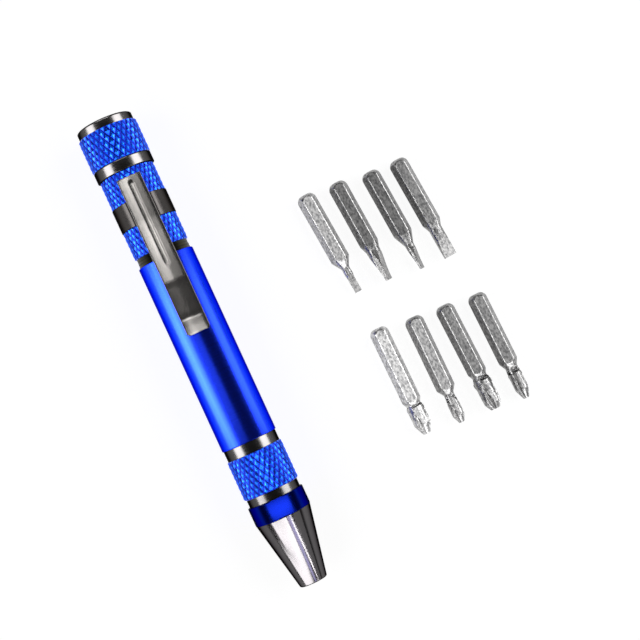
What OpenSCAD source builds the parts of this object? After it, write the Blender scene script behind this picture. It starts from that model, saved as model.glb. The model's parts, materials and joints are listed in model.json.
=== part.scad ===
// Pocket screwdriver with a knurled handle, a pocket clip, a spinning tail cap,
// a pull-out rack for eight bits, and the eight bits laid out beside it.
// The pen lies along X and its bit socket opens towards +X at the origin.
// +Z is up through the clip, +Y is the side where the bits lie.

/* [Bits] */
// Hexagon of the bits across their flats
bit_af = 4; // [3.8:0.05:4.2]
// Play of a bit in the socket and, twice over, in the rack
bit_play = 0.1; // [0.06:0.02:0.14]
// Length of a slotted bit
slotted_len = 25.2; // [23:0.1:28]
// Length of a cross bit
cross_len = 26.4; // [24:0.1:28]
// Length of the dome at the butt of a bit
butt_len = 1.9; // [0.8:0.05:2.4]
// How far the dome draws in the flats at the end face
butt_draw = 1.1; // [0.3:0.05:1.4]
// Distance between neighbouring bits as they lie
bit_pitch = 7.8; // [6:0.1:10]
// Distance from the pen's axis to the first slotted bit's butt
slotted_row_y = 34.5; // [20:0.5:45]
// Distance behind the mouth of the first slotted bit's butt
slotted_row_x = 79.4; // [78:0.1:90]
// Distance from the pen's axis to the first cross bit's butt
cross_row_y = 36.9; // [20:0.5:45]
// Distance behind the mouth of the first cross bit's butt
cross_row_x = 45; // [38:0.1:46]

/* [Slotted bits] */
// Neck diameter of the first slotted bit
slot_a_neck_d = 1.95; // [1.6:0.05:2.4]
// Blade width of the first slotted bit
slot_a_w = 1.6; // [1.2:0.1:1.9]
// Blade thickness of the first slotted bit
slot_a_t = 0.35; // [0.2:0.05:0.6]
// Turn in degrees of the first slotted bit's blade out of the level
slot_a_roll = 0; // [0:1:30]
// Neck diameter of the second slotted bit
slot_b_neck_d = 3.3; // [2.6:0.05:3.6]
// Blade width of the second slotted bit
slot_b_w = 3; // [2.6:0.1:3.4]
// Blade thickness of the second slotted bit
slot_b_t = 0.6; // [0.4:0.05:0.9]
// Turn in degrees of the second slotted bit's blade out of the level
slot_b_roll = 62; // [45:1:90]
// Neck diameter of the third slotted bit
slot_c_neck_d = 2.1; // [1.8:0.05:2.4]
// Blade width of the third slotted bit
slot_c_w = 2; // [1.8:0.1:2.4]
// Blade thickness of the third slotted bit
slot_c_t = 0.45; // [0.3:0.05:0.7]
// Turn in degrees of the third slotted bit's blade out of the level
slot_c_roll = 60; // [45:1:90]
// Neck diameter of the fourth slotted bit
slot_d_neck_d = 3.1; // [2.4:0.05:3.4]
// Blade width of the fourth slotted bit
slot_d_w = 3.1; // [3:0.1:3.5]
// Blade thickness of the fourth slotted bit
slot_d_t = 0.6; // [0.4:0.05:0.9]
// Turn in degrees of the fourth slotted bit's blade out of the level
slot_d_roll = 12; // [0:1:30]

/* [Cross bits] */
// Neck diameter of the first cross bit
cross_a_neck_d = 3.5; // [2.8:0.05:3.8]
// Tip diameter of the first cross bit
cross_a_tip_d = 4; // [3.2:0.05:4]
// Point diameter of the first cross bit
cross_a_point_d = 1.8; // [0.6:0.1:2]
// Turn in degrees of the first cross bit's tip about its axis
cross_a_roll = 20; // [0:1:45]
// Neck diameter of the second cross bit
cross_b_neck_d = 2.4; // [1.6:0.05:2.6]
// Tip diameter of the second cross bit
cross_b_tip_d = 2.8; // [2.4:0.05:3]
// Point diameter of the second cross bit
cross_b_point_d = 1.3; // [0.4:0.1:1.6]
// Turn in degrees of the second cross bit's tip about its axis
cross_b_roll = 10; // [0:1:45]
// Neck diameter of the third cross bit
cross_c_neck_d = 3.5; // [3:0.05:3.8]
// Tip diameter of the third cross bit
cross_c_tip_d = 4.05; // [3.8:0.05:4.4]
// Point diameter of the third cross bit
cross_c_point_d = 2.3; // [1.4:0.1:2.6]
// Turn in degrees of the third cross bit's tip about its axis
cross_c_roll = 25; // [0:1:45]
// Neck diameter of the fourth cross bit
cross_d_neck_d = 2.9; // [2.2:0.05:3.1]
// Tip diameter of the fourth cross bit
cross_d_tip_d = 3.2; // [2.9:0.05:3.4]
// Point diameter of the fourth cross bit
cross_d_point_d = 1.4; // [0.5:0.1:1.6]
// Turn in degrees of the fourth cross bit's tip about its axis
cross_d_roll = 15; // [0:1:45]

/* [Bit rack] */
// Thinnest web between two pockets of the rack
rack_web = 0.34; // [0.3:0.02:0.5]
// Walls between and at the ends of the two rows of pockets
rack_wall = 0.6; // [0.4:0.05:0.8]
// Gap round the rack in the bore
rack_gap = 0.2; // [0.16:0.02:0.3]
// Gap between the rack and the pad at the end of the bore
rack_play = 0.2; // [0.1:0.05:0.4]
// Diameter of the rack's stem in the core
stem_d = 5; // [4:0.1:6]
// Diameter of the cross pin through the stem
pin_d = 1.2; // [0.8:0.1:1.6]

/* [Nose] */
// Length of the bare steel cone
cone_len = 16.2; // [15.5:0.1:20]
// Depth of the bit socket
socket_depth = 12; // [8:0.5:12.5]
// Wall of the hexagon bush at the socket's corners
bush_wall = 0.38; // [0.3:0.02:0.5]
// Wall behind the magnet
bush_floor = 0.6; // [0.4:0.1:1]
// Bevel that leads a bit into the socket
lead_in = 0.15; // [0.05:0.05:0.3]
// Wall of the cone round the bush at the mouth
mouth_wall = 0.52; // [0.4:0.02:0.8]
// Bevel round the mouth
mouth_bevel = 0.2; // [0.05:0.05:0.3]
// Diameter of the magnet
magnet_d = 3.6; // [2:0.1:4]
// Thickness of the magnet
magnet_t = 2; // [1:0.1:2.2]
// Length of the cone's spigot inside the front tube
nose_spigot_len = 4; // [3:0.1:4.3]
// Length of the glossy collar
collar_len = 4.4; // [3:0.1:6]
// Wall of the collar
collar_wall = 0.49; // [0.4:0.01:0.7]
// How far the collar stands over the cone
collar_step = 0.07; // [0.02:0.01:0.2]

/* [Front tube and grip] */
// Wall of the front tube
tube_wall = 0.34; // [0.3:0.02:0.4]
// Length of the bright ring before the collar
front_ring_len = 1.9; // [1:0.1:3]
// Length of the knurled grip sleeve
grip_len = 9.3; // [6:0.1:14]
// Wall of the grip sleeve
grip_wall = 0.47; // [0.4:0.01:0.7]
// Length of the bright ring behind the grip
rear_ring_len = 2.5; // [1:0.1:4]
// How far that ring stands over the front tube
rear_ring_step = 0.15; // [0.05:0.01:0.3]
// Length of the front tube inside the barrel
tube_tail_len = 4; // [2:0.1:8]
// Thickness of the soft pad at the end of the bore
pad_t = 0.8; // [0.4:0.1:1]

/* [Barrel] */
// Wall of the smooth barrel
barrel_wall = 0.75; // [0.6:0.01:1]
// Bevel on the rims of the barrel, the collar and the tail ring
rim_bevel = 0.15; // [0.05:0.05:0.25]
// Bevel on the rims of every knurled sleeve
knurl_bevel = 0.3; // [0.1:0.05:0.35]

/* [Rear section] */
// Length of the core's spigot inside the barrel
spigot_len = 4; // [3:0.1:5]
// Diameter of the seal ring's cord
seal_cord_d = 1; // [0.8:0.1:1.4]
// Length of the bare neck between barrel and sleeve
neck_len = 2.1; // [1.5:0.1:4]
// How far the neck stands over the bore, where it meets the barrel
neck_step = 0.35; // [0.2:0.01:0.5]
// How far the neck tapers towards the sleeve
neck_taper = 0.12; // [0:0.01:0.2]
// Width and depth of the fine grooves turned into the neck
neck_groove = 0.22; // [0.1:0.02:0.3]
// Number of fine grooves turned into the neck
neck_grooves = 2; // [1:1:3]
// How far the core lies below the bore
core_step = 0.55; // [0.4:0.05:1]
// Wall of the rear sleeve
sleeve_wall = 1.21; // [1:0.01:1.4]
// Length of the knurl in front of the clip band
knurl_front_len = 6.5; // [5:0.1:10]
// Length of the knurl behind the clip band
knurl_rear_len = 6.7; // [5.5:0.1:10]

/* [Clip] */
// Depth of the groove that the band lies in
groove_depth = 0.4; // [0.2:0.05:0.6]
// Width of the band along the handle
band_len = 5.6; // [4:0.1:8]
// Thickness of the band's sheet
band_t = 0.5; // [0.45:0.05:0.7]
// Half of the angle left open under the handle
band_open_deg = 28; // [10:1:60]
// Width of the clip strip
clip_w = 5.5; // [4:0.1:7]
// Thickness of the clip strip
clip_t = 0.6; // [0.4:0.05:0.8]
// Length of the strip behind the band
clip_tail_len = 4.9; // [2:0.1:6]
// Length of the spring arm in front of the band
arm_len = 26.9; // [20:0.1:34]
// How far the arm climbs above the band
arm_lift = 0.6; // [0.3:0.05:1.5]
// Height of the arm's bend over the band's surface
bend_lift = 0.14; // [0.1:0.02:0.3]
// Height of the arm's lip over the band's surface
lip_lift = 0.85; // [0.4:0.05:1.5]
// Radius of the corners of the lip
lip_corner = 0.7; // [0.2:0.05:1.5]
// Width of the pressed groove along the strip
press_w = 1.45; // [0.8:0.05:2]
// Depth of the pressed groove
press_depth = 0.2; // [0.1:0.02:0.3]
// Length of the pressed groove
press_len = 20.3; // [12:0.1:22]
// Distance of the groove from the strip's square end
press_inset = 1; // [0.8:0.1:2]

/* [Tail cap] */
// Length of the bright ring in front of the cap
tail_ring_len = 2.4; // [1.5:0.1:4]
// Wall of that ring round the core
tail_ring_wall = 1.58; // [1.3:0.01:1.7]
// Wall of that ring behind the core
tail_ring_floor = 0.6; // [0.4:0.1:1]
// Length of the knurled cap sleeve
cap_len = 7.9; // [7:0.1:12]
// Wall of the cap sleeve
cap_wall = 1.75; // [1.6:0.01:2]
// Length of the end disc
disc_len = 2; // [1:0.1:3]
// How far the end disc lies below the cap sleeve
disc_step = 0.45; // [0.3:0.01:0.8]
// Radius of the end disc's rounded rim
disc_round = 0.7; // [0.3:0.05:1]
// Length of the end disc's spigot in the cap
disc_spigot_len = 0.5; // [0.3:0.1:1]
// Diameter of the axle that the cap spins on
axle_d = 3; // [2.6:0.1:4]
// Diameter of the axle's thread in the core
axle_thread_d = 2.5; // [1.6:0.1:2.5]
// Length of the axle's thread in the core
axle_thread_len = 6; // [4:0.5:9]
// Diameter of the axle's head
axle_head_d = 5.4; // [4.5:0.1:7]
// Thickness of the axle's head
axle_head_t = 0.9; // [0.6:0.1:1.2]
// Thickness of the slip washer
washer_t = 0.4; // [0.3:0.05:0.6]
// Outer diameter of the slip washer
washer_d = 8; // [6:0.1:9]
// Gap between the spinning cap and what stands still before and inside it
cap_gap = 0.1; // [0.08:0.02:0.3]

/* [Fits] */
// Gap of pieces that are pressed or screwed together
fit = 0.02; // [0.01:0.01:0.03]
// Gap of pieces that turn, slide or bend against each other
run = 0.05; // [0.03:0.01:0.06]

/* [Hidden] */
$fn = 72;

// One overrun for every cut
over = bit_af / 4;

// The rack fixes the bore: four hexagons stand round its axis with a thin web between them
pockets_round = 4;
socket_af = bit_af + bit_play;
pocket_af = bit_af + 2 * bit_play;
pocket_offset = pocket_af / 2 * (1 + tan(30)) + rack_web * cos(45);
rack_r = pocket_offset + bit_af / 2;
bore_r = rack_r + rack_gap;

// Radii of the nose and the front
tube_r = bore_r + tube_wall;
rear_ring_r = tube_r + rear_ring_step;
grip_r = tube_r + grip_wall;
collar_r = tube_r + collar_wall;
cone_r = collar_r - collar_step;
bush_r = socket_af / 2 / cos(30) + bush_wall;
mouth_r = bush_r + mouth_wall;
barrel_r = bore_r + barrel_wall;

// Radii of the rear section and the tail
spigot_r = bore_r - run;
core_r = bore_r - core_step;
sleeve_r = core_r + sleeve_wall;
groove_r = sleeve_r - groove_depth;
band_r = groove_r + band_t;
tail_ring_r = core_r + tail_ring_wall;
cap_r = core_r + cap_wall;
disc_r = cap_r - disc_step;
stem_r = stem_d / 2;
axle_r = axle_d / 2;
thread_r = axle_thread_d / 2;

// Lengths of the rack's two rows, the rear one for slotted bits and the front one for cross bits
row_lens = [slotted_len + bit_play, cross_len + bit_play];
rack_len = row_lens[0] + row_lens[1] + 3 * rack_wall;

// Stations along the pen, from the mouth back to the tail
x_bush_floor = -socket_depth - magnet_t - bush_floor;
x_cone = -cone_len;
x_nose_end = x_cone - nose_spigot_len;
x_pad = x_nose_end - pad_t;
x_collar = x_cone - collar_len;
x_grip_front = x_collar - front_ring_len;
x_grip_rear = x_grip_front - grip_len;
x_barrel_front = x_grip_rear - rear_ring_len;
x_tube_end = x_barrel_front - tube_tail_len;
x_rack_front = x_pad - rack_play;
x_spigot_front = x_rack_front - rack_len;
x_barrel_rear = x_spigot_front - spigot_len;
x_sleeve_front = x_barrel_rear - neck_len;
x_band_front = x_sleeve_front - knurl_front_len;
x_band_rear = x_band_front - band_len;
x_clip_rear = x_band_rear - clip_tail_len;
x_sleeve_rear = x_band_rear - knurl_rear_len;
x_ring_rear = x_sleeve_rear - tail_ring_len;
x_core_rear = x_ring_rear + tail_ring_floor;
x_thread_end = x_core_rear + axle_thread_len;
x_washer = x_ring_rear - washer_t;
x_bush_front = x_washer - run;
x_cap_front = x_ring_rear - cap_gap;
x_cap_rear = x_ring_rear - cap_len;
x_head_rear = x_cap_rear + disc_spigot_len + cap_gap;
x_head_front = x_head_rear + axle_head_t;
x_bush_rear = x_head_front + run;
x_tail = x_cap_rear - disc_len;

// The floor that the pen's cap and the bits lie on
floor_z = -cap_r;

// A solid of revolution about X from an outline of [radius, station] points
module turned(outline) {
    rotate([0, 90, 0]) rotate_extrude() polygon(outline);
}

// A round bar along X
module bar_x(x_from, x_to, r) {
    translate([x_from, 0, 0]) rotate([0, 90, 0]) cylinder(h = x_to - x_from, r = r);
}

// A hexagon bar along X with flats up and down
module hex_x(x_from, x_to, across) {
    translate([x_from, 0, 0]) rotate([0, 90, 0]) rotate([0, 0, 30])
        cylinder(h = x_to - x_from, d = across / cos(30), $fn = 6);
}

// Outline of a plain sleeve with bevelled outer rims
function sleeve_outline(x_from, x_to, r_in, r_out, bevel) = [
    [r_in, x_from], [r_out - bevel, x_from], [r_out, x_from + bevel],
    [r_out, x_to - bevel], [r_out - bevel, x_to], [r_in, x_to]
];

// Nose
module nose_cone() {
    color("silver") turned([
        [0, x_nose_end], [bore_r - fit, x_nose_end], [bore_r - fit, x_cone], [cone_r, x_cone],
        [mouth_r, -mouth_bevel], [mouth_r - mouth_bevel, 0], [bush_r + fit, 0],
        [bush_r + fit, x_bush_floor - fit], [0, x_bush_floor - fit]
    ]);
}

module bit_socket() {
    socket_r = socket_af / 2;
    color("dimgray") difference() {
        bar_x(x_bush_floor, 0, bush_r);
        hex_x(-socket_depth, over, socket_af);
        bar_x(-socket_depth - magnet_t, -socket_depth + over, magnet_d / 2 + fit);
        translate([-lead_in, 0, 0]) rotate([0, 90, 0])
            cylinder(h = lead_in + over, r1 = socket_r, r2 = socket_r + lead_in + over);
    }
}

module socket_magnet() {
    color("lightgray") bar_x(-socket_depth - magnet_t, -socket_depth, magnet_d / 2);
}

module nose_collar() {
    color("midnightblue") turned(sleeve_outline(x_collar, x_cone, tube_r + fit, collar_r, rim_bevel));
}

// Front tube, whose bare stretches are the two bright rings beside the grip
module front_tube() {
    color("gainsboro") turned([
        [bore_r, x_tube_end], [tube_r, x_tube_end], [tube_r, x_barrel_front],
        [rear_ring_r, x_barrel_front], [rear_ring_r, x_grip_rear], [tube_r, x_grip_rear],
        [tube_r, x_cone], [bore_r, x_cone]
    ]);
}

module grip_sleeve() {
    color("royalblue")
        turned(sleeve_outline(x_grip_rear, x_grip_front, tube_r + fit, grip_r, knurl_bevel));
}

// Barrel
module barrel() {
    x_seat = x_tube_end - fit;
    color("blue") turned([
        [bore_r, x_barrel_rear], [barrel_r - rim_bevel, x_barrel_rear],
        [barrel_r, x_barrel_rear + rim_bevel], [barrel_r, x_barrel_front - rim_bevel],
        [barrel_r - rim_bevel, x_barrel_front], [tube_r + fit, x_barrel_front],
        [tube_r + fit, x_seat], [bore_r, x_seat]
    ]);
}

// Soft pad that keeps the rack from rattling
module bore_pad() {
    color("black") bar_x(x_pad, x_nose_end, bore_r - run);
}

// Rear section
x_seal = x_spigot_front - spigot_len / 2;
seal_r = spigot_r + run / 2 - seal_cord_d / 2;
seal_groove_r = seal_r - seal_cord_d / 2 - fit;
x_pin = x_sleeve_front - pin_d;
x_stem_end = x_pin - pin_d;

// Radius of the tapering neck at a share of its length from the barrel
function neck_r(place_share) = bore_r + neck_step - neck_taper * place_share;

// One fine groove in the neck as four outline points
function neck_groove_points(i) =
    let (mid_share = (i + 1) / (neck_grooves + 1), half = neck_groove / 2)
    let (x_mid = x_barrel_rear - neck_len * mid_share, r = neck_r(mid_share))
    [[r, x_mid + half], [r - neck_groove, x_mid + half], [r - neck_groove, x_mid - half], [r, x_mid - half]];

// A cross hole or a cross pin through the rack's stem
module across_stem(r, len) {
    translate([x_pin, 0, 0]) rotate([90, 0, 0]) cylinder(h = len, r = r, center = true);
}

module rear_core() {
    half_seal = seal_cord_d / 2 + fit;
    grooves = [for (i = [0:neck_grooves - 1]) each neck_groove_points(i)];
    color("darkolivegreen") difference() {
        turned(concat(
            [
                [stem_r + fit, x_spigot_front], [spigot_r - run, x_spigot_front],
                [spigot_r, x_spigot_front - run], [spigot_r, x_seal + half_seal],
                [seal_groove_r, x_seal + half_seal], [seal_groove_r, x_seal - half_seal],
                [spigot_r, x_seal - half_seal], [spigot_r, x_barrel_rear], [neck_r(0), x_barrel_rear]
            ],
            grooves,
            [
                [neck_r(1), x_sleeve_front], [core_r, x_sleeve_front], [core_r, x_core_rear],
                [thread_r + fit, x_core_rear], [thread_r + fit, x_thread_end + fit],
                [0, x_thread_end + fit], [0, x_stem_end - fit], [stem_r + fit, x_stem_end - fit]
            ]
        ));
        across_stem(pin_d / 2 + fit, 2 * core_r + over);
    }
}

module seal_ring() {
    color("black") translate([x_seal, 0, 0]) rotate([0, 90, 0])
        rotate_extrude() translate([seal_r, 0]) circle(d = seal_cord_d);
}

module rear_sleeve() {
    color("royalblue") turned([
        [core_r + fit, x_sleeve_rear], [sleeve_r - knurl_bevel, x_sleeve_rear],
        [sleeve_r, x_sleeve_rear + knurl_bevel], [sleeve_r, x_band_rear], [groove_r, x_band_rear],
        [groove_r, x_band_front], [sleeve_r, x_band_front],
        [sleeve_r, x_sleeve_front - knurl_bevel], [sleeve_r - knurl_bevel, x_sleeve_front],
        [core_r + fit, x_sleeve_front]
    ]);
}

// Clip: one pressed sheet on the real thing, here in two nodes that meet where it bends
clip_top_r = band_r + clip_t;
press_r = press_w / 2;
x_press_rear = x_clip_rear + press_inset;
x_press_front = x_press_rear + press_len;

module clip_band() {
    strip_len = clip_tail_len + band_len;
    open_w = band_r * tan(band_open_deg);
    color("dimgray") difference() {
        union() {
            difference() {
                bar_x(x_band_rear + fit, x_band_front - fit, band_r);
                bar_x(x_band_rear - over, x_band_front + over, groove_r + fit);
            }
            intersection() {
                difference() {
                    bar_x(x_clip_rear, x_band_front - fit, clip_top_r);
                    bar_x(x_clip_rear - over, x_band_front + over, band_r);
                }
                translate([x_clip_rear - over, -clip_w / 2, 0])
                    cube([strip_len + 2 * over, clip_w, clip_top_r]);
            }
        }
        translate([x_band_rear - over, 0, 0]) rotate([90, 0, 90])
            linear_extrude(band_len + 2 * over)
            polygon([[0, 0], [-2 * open_w, -2 * band_r], [2 * open_w, -2 * band_r]]);
        translate([x_press_rear + press_r, 0, clip_top_r - press_depth]) {
            cylinder(h = over, r = press_r);
            translate([0, -press_r, 0]) cube([press_len, press_w, over]);
        }
    }
}

// The arm's height follows four eased stretches along its length
arm_steps = 32;
climb_share = 0.4;
level_share = 0.53;
bend_share = 0.85;
function eased(from, to, t) = from + (to - from) * (1 - cos(180 * t)) / 2;
function arm_height(s) =
    s < climb_share ? eased(0, arm_lift, s / climb_share)
    : s < level_share ? arm_lift
    : s < bend_share ? eased(arm_lift, bend_lift, (s - level_share) / (bend_share - level_share))
    : bend_lift + (lip_lift - bend_lift) * sin(90 * (s - bend_share) / (1 - bend_share));
function arm_half_width(s) =
    let (left = (1 - s) * arm_len)
    left >= lip_corner ? clip_w / 2
    : clip_w / 2 - lip_corner + sqrt(pow(lip_corner, 2) - pow(lip_corner - left, 2));

// Depth of the pressed groove, with sloping sides and a round end
slope_share = 0.4;
function press_at(x, y) =
    let (off = norm([max(0, x - x_press_front + press_r), y]))
    press_depth * max(0, min(1, (press_r - off) / (press_r * slope_share)));

// Points across the arm, closer together at the groove
outer_share = 0.72;
inner_share = 0.46;
function arm_across(w) =
    let (side = [w, w * outer_share, w * inner_share, press_r, press_r * (1 - slope_share)])
    concat(-side, [0], [for (i = [len(side) - 1:-1:0]) side[i]]);

// One cross-section of the arm: its outer arc, then its inner arc back again
function arm_section(s) =
    let (x = x_band_front + run + (arm_len - run) * s, h = arm_height(s))
    let (ys = arm_across(arm_half_width(s)))
    concat(
        [for (y = ys) [x, y, h + sqrt(pow(clip_top_r, 2) - pow(y, 2)) - press_at(x, y)]],
        [for (i = [len(ys) - 1:-1:0]) [x, ys[i], h + sqrt(pow(band_r, 2) - pow(ys[i], 2))]]
    );

module clip_arm() {
    // Stations crowd together at the lip so that its round corners show
    corner_steps = 4;
    corner_share = lip_corner / arm_len;
    stations = concat([for (i = [0:arm_steps - 1]) i / arm_steps * (1 - corner_share)],
        [for (i = [0:corner_steps]) 1 - corner_share * (1 - sin(90 * i / corner_steps))]);
    count = len(arm_section(0));
    last = len(stations) - 1;
    points = [for (s = stations) each arm_section(s)];
    sides = [for (k = [0:last - 1], i = [0:count - 1])
        each let (a = k * count + i, b = k * count + (i + 1) % count)
        [[a, b, b + count], [a, b + count, a + count]]];
    ends = [for (i = [0:count / 2 - 2])
        each let (a = i, b = i + 1, c = count - 2 - i, d = count - 1 - i, z = last * count)
        [[a, c, b], [a, d, c], [z + a, z + b, z + c], [z + a, z + c, z + d]]];
    color("gray") polyhedron(points, concat(sides, ends));
}

// Outline of a pocket: the lower half of the hexagon, then straight walls out of the rack
module pocket_outline() {
    corner = pocket_af / 2 / cos(30);
    polygon([
        [corner, 0], [corner, rack_r], [-corner, rack_r], [-corner, 0],
        [-corner / 2, -pocket_af / 2], [corner / 2, -pocket_af / 2]
    ]);
}

// Bit rack: two rows of pockets that are open outwards
module bit_rack() {
    x_rows = [x_spigot_front + rack_wall, x_spigot_front + 2 * rack_wall + row_lens[0]];
    color("darkslategray") difference() {
        union() {
            bar_x(x_spigot_front, x_rack_front, rack_r);
            bar_x(x_stem_end, x_spigot_front + fit, stem_r);
        }
        for (row = [0, 1], turn = [0:pockets_round - 1])
            rotate([360 * turn / pockets_round, 0, 0]) translate([x_rows[row], 0, pocket_offset])
                rotate([90, 0, 90]) linear_extrude(row_lens[row]) pocket_outline();
        across_stem(pin_d / 2 + fit, 2 * core_r);
    }
}

module rack_pin() {
    color("silver") across_stem(pin_d / 2, 2 * core_r - pin_d / 2);
}

// Tail
module tail_ring() {
    color("gainsboro") turned([
        [axle_r + fit, x_ring_rear], [tail_ring_r - rim_bevel, x_ring_rear],
        [tail_ring_r, x_ring_rear + rim_bevel], [tail_ring_r, x_sleeve_rear - rim_bevel],
        [tail_ring_r - rim_bevel, x_sleeve_rear], [core_r + fit, x_sleeve_rear],
        [core_r + fit, x_core_rear], [axle_r + fit, x_core_rear]
    ]);
}

module slip_washer() {
    color("white") turned([
        [axle_r + run, x_washer], [washer_d / 2, x_washer],
        [washer_d / 2, x_ring_rear], [axle_r + run, x_ring_rear]
    ]);
}

module cap_axle() {
    color("silver") turned([
        [0, x_head_rear], [axle_head_d / 2, x_head_rear], [axle_head_d / 2, x_head_front],
        [axle_r, x_head_front], [axle_r, x_core_rear], [thread_r, x_core_rear],
        [thread_r, x_thread_end], [0, x_thread_end]
    ]);
}

module cap_bush() {
    color("goldenrod") turned([
        [axle_r + run, x_bush_rear], [core_r - fit, x_bush_rear],
        [core_r - fit, x_bush_front], [axle_r + run, x_bush_front]
    ]);
}

module cap_sleeve() {
    color("royalblue") turned(sleeve_outline(x_cap_rear, x_cap_front, core_r, cap_r, knurl_bevel));
}

module end_disc() {
    rim_steps = 12;
    rim = [for (i = [0:rim_steps]) let (a = 90 * i / rim_steps)
        [disc_r - disc_round * (1 - sin(a)), x_tail + disc_round * (1 - cos(a))]];
    x_spigot = x_cap_rear + disc_spigot_len;
    color("gainsboro") turned(concat([[0, x_tail]], rim, [
        [disc_r, x_cap_rear], [core_r - fit, x_cap_rear], [core_r - fit, x_spigot], [0, x_spigot]
    ]));
}

// Bits. Each lies on a flat of its hexagon, with its butt at its own place and its tip along its heading.
// Places are shares of the pitch from the first bit of the row, headings are degrees from +X.
slotted_place_shares = [[0, 0], [0.045, 0.988], [0.153, 2.006], [0.164, 2.897]];
slotted_headings = [4.9, 4.4, 4.6, 4.9];
cross_place_shares = [[0, 0], [0.132, 1.071], [0.194, 2.036], [0.291, 3.037]];
cross_headings = [0.9, 0.8, 2.6, 1.8];

module lay_slotted(i) {
    place = slotted_place_shares[i] * bit_pitch;
    translate([place[0] - slotted_row_x, place[1] + slotted_row_y, floor_z + bit_af / 2])
        rotate([0, 0, slotted_headings[i]]) children();
}

module lay_cross(i) {
    place = cross_place_shares[i] * bit_pitch;
    translate([place[0] - cross_row_x, place[1] + cross_row_y, floor_z + bit_af / 2])
        rotate([0, 0, cross_headings[i]]) children();
}

// The hexagon shank with its domed butt and its coned shoulder. Both run on past the corners
// of the hexagon, and the shoulder's cone runs on into the neck.
module shank(shank_len, neck_x, neck_d) {
    corner_r = bit_af / 2 / cos(30);
    butt_r = bit_af / 2 - butt_draw;
    dome = [for (a = [0, 20, 40, 60]) [butt_r + (corner_r - butt_r) * sin(a), butt_len * (1 - cos(a))]];
    dome_end = dome[len(dome) - 1];
    dome_run = (butt_len - dome_end[1]) / (corner_r - dome_end[0]);
    shoulder_run = (neck_x - shank_len) / (corner_r - neck_d / 2);
    sink = neck_d / 8;
    intersection() {
        hex_x(-over, neck_x + over, bit_af);
        turned(concat([[0, 0]], dome, [
            [corner_r + over, butt_len + over * dome_run],
            [corner_r + over, shank_len - over * shoulder_run],
            [neck_d / 2 - sink, neck_x + sink * shoulder_run], [0, neck_x + sink * shoulder_run]
        ]));
    }
}

// A slotted bit: a round neck whose end is ground to a blade in two hollow flanks
module slotted_bit(neck_d, blade_w, blade_t, shank_share, neck_share, grind_share, roll) {
    shank_len = slotted_len * shank_share;
    neck_x = slotted_len * neck_share;
    grind_x = slotted_len * grind_share;
    stock_d = max(neck_d, blade_w);
    steps = 8;
    start_half = 0.55 * stock_d;
    flank = concat([for (i = [0:steps]) let (t = i / steps)
        [grind_x + (slotted_len - grind_x) * t, blade_t / 2 + (start_half - blade_t / 2) * pow(1 - t, 1.8)]],
        [[slotted_len + over, blade_t / 2]]);
    other_flank = [for (i = [steps + 1:-1:0]) [flank[i][0], -flank[i][1]]];
    color("lightsteelblue") union() {
        shank(shank_len, neck_x, neck_d);
        rotate([roll, 0, 0]) intersection() {
            turned([
                [0, shank_len], [neck_d / 2, shank_len], [neck_d / 2, neck_x],
                [stock_d / 2, grind_x + stock_d - neck_d], [stock_d / 2, slotted_len], [0, slotted_len]
            ]);
            translate([0, stock_d, 0]) rotate([90, 0, 0]) linear_extrude(2 * stock_d)
                polygon(concat([[0, -stock_d], [0, stock_d], [grind_x, stock_d]], flank, other_flank,
                    [[grind_x, -stock_d]]));
            blade_sides(grind_x, stock_d, blade_w);
        }
    }
}

// Keeps the stock up to the grind and beyond it the blade's width, where that is less than the stock
module blade_sides(grind_x, stock_d, blade_w) {
    half = blade_w < stock_d ? blade_w / 2 : stock_d;
    x_end = slotted_len + over;
    translate([0, 0, -stock_d]) linear_extrude(2 * stock_d) polygon([
        [0, -stock_d], [grind_x - stock_d, -stock_d], [grind_x + stock_d - half, -half], [x_end, -half],
        [x_end, half], [grind_x + stock_d - half, half], [grind_x - stock_d, stock_d], [0, stock_d]
    ]);
}

// A cross bit: four flutes cut a turned tip that ends in a blunt point
module cross_bit(neck_d, tip_d, point_d, shank_share, neck_share, tip_share, point_share, roll) {
    shank_len = cross_len * shank_share;
    neck_x = cross_len * neck_share;
    tip_x = cross_len * tip_share;
    point_x = cross_len * point_share;
    flute_x = tip_x + (point_x - tip_x) * 0.15;
    flute_tilt = 0.8 * atan(tip_d / 2 / (cross_len - tip_x));
    color("lightsteelblue") union() {
        shank(shank_len, neck_x, neck_d);
        rotate([roll, 0, 0]) difference() {
            turned([
                [0, shank_len], [neck_d / 2, shank_len], [neck_d / 2, neck_x], [tip_d / 2, tip_x],
                [tip_d / 2, point_x], [point_d / 2, cross_len], [0, cross_len]
            ]);
            for (turn = [0:3]) rotate([90 * turn + 45, 0, 0])
                translate([flute_x, 0, tip_d / 2]) rotate([0, flute_tilt, 0]) rotate([45, 0, 0])
                    translate([-over, 0, 0]) cube([cross_len, tip_d, tip_d]);
        }
    }
}

module bit_slotted_1_5() {
    lay_slotted(0) slotted_bit(slot_a_neck_d, slot_a_w, slot_a_t, 0.66, 0.75, 0.81, slot_a_roll);
}

module bit_slotted_3_0() {
    lay_slotted(1) slotted_bit(slot_b_neck_d, slot_b_w, slot_b_t, 0.62, 0.69, 0.7, slot_b_roll);
}

module bit_slotted_2_0() {
    lay_slotted(2) slotted_bit(slot_c_neck_d, slot_c_w, slot_c_t, 0.63, 0.75, 0.76, slot_c_roll);
}

module bit_slotted_3_5() {
    lay_slotted(3) slotted_bit(slot_d_neck_d, slot_d_w, slot_d_t, 0.64, 0.71, 0.74, slot_d_roll);
}

module bit_cross_1() {
    lay_cross(0) cross_bit(cross_a_neck_d, cross_a_tip_d, cross_a_point_d,
        0.68, 0.72, 0.75, 0.91, cross_a_roll);
}

module bit_cross_00() {
    lay_cross(1) cross_bit(cross_b_neck_d, cross_b_tip_d, cross_b_point_d,
        0.67, 0.73, 0.82, 0.93, cross_b_roll);
}

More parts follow.
